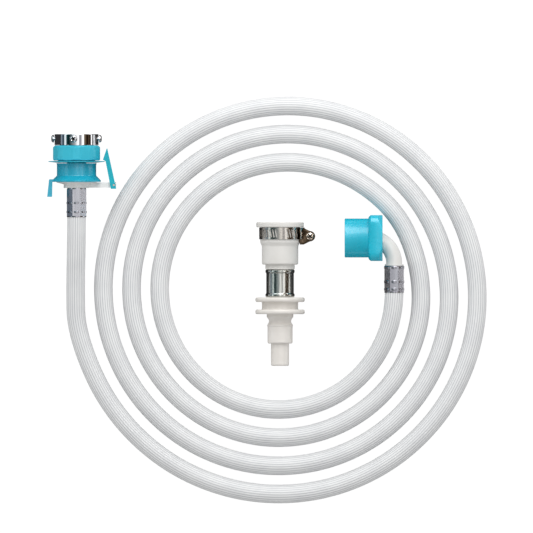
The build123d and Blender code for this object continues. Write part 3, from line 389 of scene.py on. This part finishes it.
def pan_screw(name, origin, axis, turn, shank, under, head_r, thick, reach, width):
    """A screw turned about its axis: a shank, and a head that is a dome with a cross sunk in it.

    The dome is height = thick (1 - (r / head_r)^3)^0.4 above its underside. The shank is a list
    of (radius, height). The map's first coordinate is the share of the recess's depth, by which the
    plating paints shade in the recess.
    """
    edge = 1 - 0.12 * np.linspace(0, 1, 14) ** 3
    share = np.concatenate([edge, np.linspace(0.88, 0.02, 44)[1:]])
    radius = np.concatenate([[r for r, _ in shank], head_r * share])
    height = np.concatenate([[h for _, h in shank], under + thick * (1 - share**3) ** 0.4])
    a = np.linspace(0, 2 * np.pi, SCREW_COLUMNS, endpoint=False)
    x, y = np.outer(radius, np.cos(a)), np.outer(radius, np.sin(a))
    recess = cross_recess(x, y, reach, width) * (np.arange(len(radius)) >= len(shank))[:, None]
    h = height[:, None] - RECESS_DEPTH * thick * recess
    axis = np.asarray(axis) / np.linalg.norm(axis)
    right = np.cross((0, 1, 0), axis)
    back = np.cross(axis, right)
    c, s = np.cos(np.radians(turn)), np.sin(np.radians(turn))
    right, back = c * right + s * back, c * back - s * right
    points = origin + x[..., None] * right + y[..., None] * back + h[..., None] * axis
    floor_height = under + thick - RECESS_DEPTH * thick
    points, faces = capped(points, origin + shank[0][1] * axis, origin + floor_height * axis)
    uv = np.concatenate([np.stack([recess, 0 * recess], axis=-1).reshape(-1, 2), [[0, 0], [1, 0]]])
    screw = new_piece(name, points * MM, faces, name, uv, crease=50)
    return screw


def screw_plate(name, base, shade):
    """Bright plating with painted shade: black in the recess, by the share of its depth in the map.
    """
    f = Finish(name, 0.1, metallic=1.0)
    depth, _ = f.uv()
    skin = f.mix(f.spread(f.noise(300, 4), 0, 1), colour(base), colour(shade))
    # Painted shade: the recess is painted near black by its depth share.
    f.link(f.mix(f.spread(depth, 0, 1, 0.15, 0.6), skin, colour("0E0D0C")), "Base Color")
    f.link(f.spread(f.noise(700), 0.06, 0.2), "Roughness")
    f.bump(f.noise(900, 2), 0.08, 0.00005)
    return f


GRIP_SCREW_Y = COUPLER[1] + 40.9
GRIP_SCREW_LEAN = -97.3  # degrees, of the first screw
grip_plate = screw_plate("bright_screw_plate", "E2E2E4", "C4C5C8")
for n, turn in enumerate((38, 12, 70, 55)):
    lean = np.radians(GRIP_SCREW_LEAN + 90 * n)
    screw = pan_screw(
        f"grip_screw_{n + 1}",
        origin=np.array([COUPLER[0], GRIP_SCREW_Y, COUPLER[2]]),
        axis=(np.cos(lean), 0, -np.sin(lean)),
        turn=turn,
        shank=[(0.9, 12.1), (1.1, 12.1), (1.5, 12.5), (1.5, 19.08), (1.55, 19.1), (3.1, 19.1)],
        under=19.1,
        head_r=3.15,
        thick=2.0,
        reach=2.3,
        width=0.95,
    )
    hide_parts(f"grip_screw_{n + 1}")
    grip_plate.put_on(screw)

clamp_screw = pan_screw(
    "clamp_screw",
    origin=CLAMP_SCREW,
    axis=(0, 0, 1),
    turn=42,
    shank=[
        (1.5, -7.2), (2.1, -7.2), (2.2, -7.1), (2.2, -4.85), (3.85, -4.8), (3.9, -4.7),
        (3.9, 4.7), (3.85, 4.8), (2.2, 4.85), (2.2, 6.28), (2.25, 6.3), (3.45, 6.3),
    ],
    under=6.3,
    head_r=3.5,
    thick=2.3,
    reach=2.7,
    width=1.0,
)
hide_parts("clamp_screw")
screw_plate("warm_screw_plate", "D8CCC0", "B8A898").put_on(clamp_screw)


# ---------------------------------------------------------------- the swivel nut
NUT_LENGTH = 31.5
NUT_BARREL_R = 16.15
NUT_COLLAR_HALF = 19.05
NUT_COLLAR_CORNER = 7.0
NUT_BACK_BEVEL_R = 20.5
NUT_COLLAR_LENGTH = 11.6
NUT_CHAMFER = 1.7
NUT_SHOULDER = 11.5
NUT_THROAT_R = 7.3
NUT_COLUMNS = 256
THREAD_PITCH = 1.814
THREAD_R = 12.06
THREAD_DEPTH = 1.1
THREAD_START = 16.8


def rounded_square(half, corner, a):
    """Polar radius of a rounded square: half / max(|cos a|, |sin a|) on a side, and on a corner
    k (|cos a| + |sin a|) + sqrt(corner^2 - k^2 (|cos a| - |sin a|)^2), with k = half - corner.
    """
    big = np.maximum(np.abs(np.cos(a)), np.abs(np.sin(a)))
    small = np.minimum(np.abs(np.cos(a)), np.abs(np.sin(a)))
    k = half - corner
    root = np.sqrt(np.maximum(corner**2 - k**2 * (big - small) ** 2, 0))
    return np.where(half * small / big <= k, half / big, k * (big + small) + root)


def make_nut():
    """The nut as a ring of rows (radius, height), with the collar's rows square.

    The collar stays inside the cone r = bevel radius + height, which turns off its back corners.
    In its bore, r = thread radius + depth |2 frac(height / pitch - a / 2 pi) - 1|, faded in and
    out at both ends of the thread.
    """
    a = np.linspace(0, 2 * np.pi, NUT_COLUMNS, endpoint=False)
    front, half = NUT_COLLAR_LENGTH, NUT_COLLAR_HALF
    barrel = [
        (NUT_BARREL_R - 0.9, NUT_LENGTH), (NUT_BARREL_R - 0.3, NUT_LENGTH - 0.1),
        (NUT_BARREL_R, NUT_LENGTH - 0.5), (NUT_BARREL_R, NUT_LENGTH - 1.0),
        (NUT_BARREL_R, front + 0.5), (NUT_BARREL_R + 0.12, front + 0.14),
        (NUT_BARREL_R + 0.5, front),
    ]
    collar = [
        (half - NUT_CHAMFER - 0.12, front), (half - NUT_CHAMFER + 0.08, front - 0.06),
        (half - 0.12, front - NUT_CHAMFER + 0.1), (half, front - NUT_CHAMFER - 0.12),
        *[(half, height) for height in np.linspace(4.2, 0.3, 14)],
        (half - 0.09, 0.09), (half - 0.3, 0.0),
    ]
    inside = [
        (9.2, 0.0), (8.9, 0.0), (NUT_THROAT_R, 9.5), (NUT_THROAT_R, NUT_SHOULDER),
        (12.3, NUT_SHOULDER), (12.36, 11.56), (12.36, THREAD_START - 0.05),
    ]
    rows = [np.full(NUT_COLUMNS, r) for r, _ in barrel]
    bevelled = [(rounded_square(r, NUT_COLLAR_CORNER, a), NUT_BACK_BEVEL_R + h) for r, h in collar]
    rows += [np.minimum(square, cone) for square, cone in bevelled]
    rows += [np.full(NUT_COLUMNS, r) for r, _ in inside]
    height = np.array([h for _, h in barrel + collar + inside])
    thread = np.linspace(THREAD_START, NUT_LENGTH - 0.1, 80)[:, None]
    wave = np.abs(2 * ((thread / THREAD_PITCH - a / (2 * np.pi)) % 1) - 1)
    fade = np.clip(np.minimum(thread - THREAD_START, NUT_LENGTH - 0.1 - thread), 0, 1)
    radius = np.concatenate([rows, THREAD_R + THREAD_DEPTH * wave * fade])
    mouth = np.full((1, NUT_COLUMNS), THREAD_R + 0.5)
    radius = np.concatenate([radius, mouth])
    height = np.concatenate([height, thread[:, 0], [NUT_LENGTH]])[:, None] + 0 * a
    local = np.stack([-height, radius * np.sin(a), radius * np.cos(a)], axis=-1)
    points = (NUT_BACK + local).reshape(-1, 3) * MM
    faces = grid_faces(*radius.shape, wrap_rows=True).tolist()
    nut = new_piece("threaded_nut", points, faces, "nut", crease=32, inside_out=True)
    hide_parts("elbow_nut")
    return nut


cyan_nut.put_on(make_nut())


# ---------------------------------------------------------------- table, studio and camera
PICTURE_WIDTH = 0.44239
PICTURE_MIDDLE = (0.03436, -0.01365)
CAMERA_HEIGHT = 1.5
TABLE_GLOW = 1.06
TABLE_GLOW_SHARE = 0.94


def table_top():
    """Pale table, with a painted dark reflection: glossy rays see it as dark grey."""
    reach, z = 3.0, -0.0002
    mesh = bpy.data.meshes.new("table_top")
    corners = [(-reach, -reach, z), (reach, -reach, z), (reach, reach, z), (-reach, reach, z)]
    mesh.from_pydata(corners, [], [(0, 1, 2, 3)])
    top = bpy.data.objects.new("table_top", mesh)
    bpy.context.scene.collection.objects.link(top)
    material = bpy.data.materials.new("pale_table")
    material.use_nodes = True
    material.node_tree.nodes.clear()
    t = NodeTree(material.node_tree)
    path = t.add("ShaderNodeLightPath").outputs
    matt = t.add("ShaderNodeBsdfDiffuse", {"Color": (0.95, 0.95, 0.95, 1)}).outputs[0]
    white = t.add("ShaderNodeEmission", {"Strength": TABLE_GLOW}).outputs[0]
    # Painted reflection: dark grey shown only to glossy rays, so metal edges reflect dark.
    painted_dark_reflection = t.add("ShaderNodeEmission", {"Color": colour("3A3A3C")}).outputs[0]
    seen = t.math("MAXIMUM", path["Is Camera Ray"], path["Is Transmission Ray"])
    shown = t.blend_shaders(t.math("MULTIPLY", seen, TABLE_GLOW_SHARE), matt, white)
    surface = t.blend_shaders(path["Is Glossy Ray"], shown, painted_dark_reflection)
    t.add("ShaderNodeOutputMaterial", {"Surface": surface})
    mesh.materials.append(material)


STUDIO_CARDS = (  # degrees from straight up, to the right, and the colour that stands there
    (-90, "7C8894"), (-83, "A0AEB8"), (-79, "3C5264"), (-71, "2C3E4C"), (-66, "E8F4F6"),
    (-58, "E8F4F6"), (-53, "1A4648"), (-40, "04181A"), (-34, "3A5254"), (-12, "A8B0B4"),
    (0, "F0F2F2"), (11, "FFFFFF"), (16, "B4B4B8"), (23, "A6A6AA"), (29, "FFFFFF"),
    (38, "FFFFFF"), (42, "857866"), (50, "6C5C48"), (54, "2A1C12"), (61, "1C120C"),
    (66, "5A4A3A"), (71, "382C22"), (80, "382C22"), (83, "FFFFFF"), (87, "FFFFFF"), (90, "9A9896"),
)


def studio():
    """World: white where it is seen, soft white as light, and cards and flags in the gloss."""
    world = bpy.data.worlds.new("studio")
    bpy.context.scene.world = world
    world.use_nodes = True
    world.node_tree.nodes.clear()
    t = NodeTree(world.node_tree)
    path = t.add("ShaderNodeLightPath").outputs
    place = t.add("ShaderNodeTexCoord").outputs["Generated"]
    x, y, z = t.add("ShaderNodeSeparateXYZ", {0: place}).outputs
    right = t.math("ARCTAN2", x, z)
    ahead = t.math("ARCTAN2", y, z)
    turn = t.spread(right, 0, 1, -np.pi / 2, np.pi / 2)
    cards = t.ramp(turn, [((angle + 90) / 180, shade) for angle, shade in STUDIO_CARDS])
    lit = t.add("ShaderNodeSeparateColor", {0: cards}).outputs["Green"]
    lamps = t.math("MULTIPLY_ADD", t.math("POWER", lit, 8.0), 0.7, 1.0)
    near = t.spread(ahead, 0.45, 1.0, -0.5, 0.0)
    far = t.spread(ahead, 0.0, 2.0, 0.02, 0.35)
    strength = t.math("MULTIPLY", lamps, t.math("ADD", near, far))
    gloss = t.add("ShaderNodeBackground", {"Color": cards, "Strength": strength}).outputs[0]
    dome = t.spread(y, 0.47, 1.0, -1, 1)
    light = t.add("ShaderNodeBackground", {"Color": (1, 1, 1, 1), "Strength": dome}).outputs[0]
    white = t.add("ShaderNodeBackground", {"Color": (1, 1, 1, 1)}).outputs[0]
    surface = t.blend_shaders(path["Is Glossy Ray"], light, gloss)
    seen = t.math("MAXIMUM", path["Is Camera Ray"], path["Is Transmission Ray"])
    surface = t.blend_shaders(seen, surface, white)
    t.add("ShaderNodeOutputWorld", {"Surface": surface})


def lamp(name, place, width, height, power):
    light = bpy.data.lights.new(name, "AREA")
    light.shape = "RECTANGLE"
    light.size = width
    light.size_y = height
    light.energy = power
    holder = bpy.data.objects.new(name, light)
    holder.location = place
    aim = Vector((*PICTURE_MIDDLE, 0)) - Vector(place)
    holder.rotation_euler = aim.to_track_quat("-Z", "Y").to_euler()
    bpy.context.scene.collection.objects.link(holder)


def camera():
    lens = bpy.data.cameras.new("camera")
    lens.type = "ORTHO"
    lens.ortho_scale = PICTURE_WIDTH
    holder = bpy.data.objects.new("camera", lens)
    holder.location = (*PICTURE_MIDDLE, CAMERA_HEIGHT)
    bpy.context.scene.collection.objects.link(holder)
    bpy.context.scene.camera = holder


table_top()
studio()
lamp("key_softbox", (0.05, 1.1, 1.0), 1.4, 1.0, 10)
camera()
bpy.context.scene.view_settings.view_transform = "Standard"
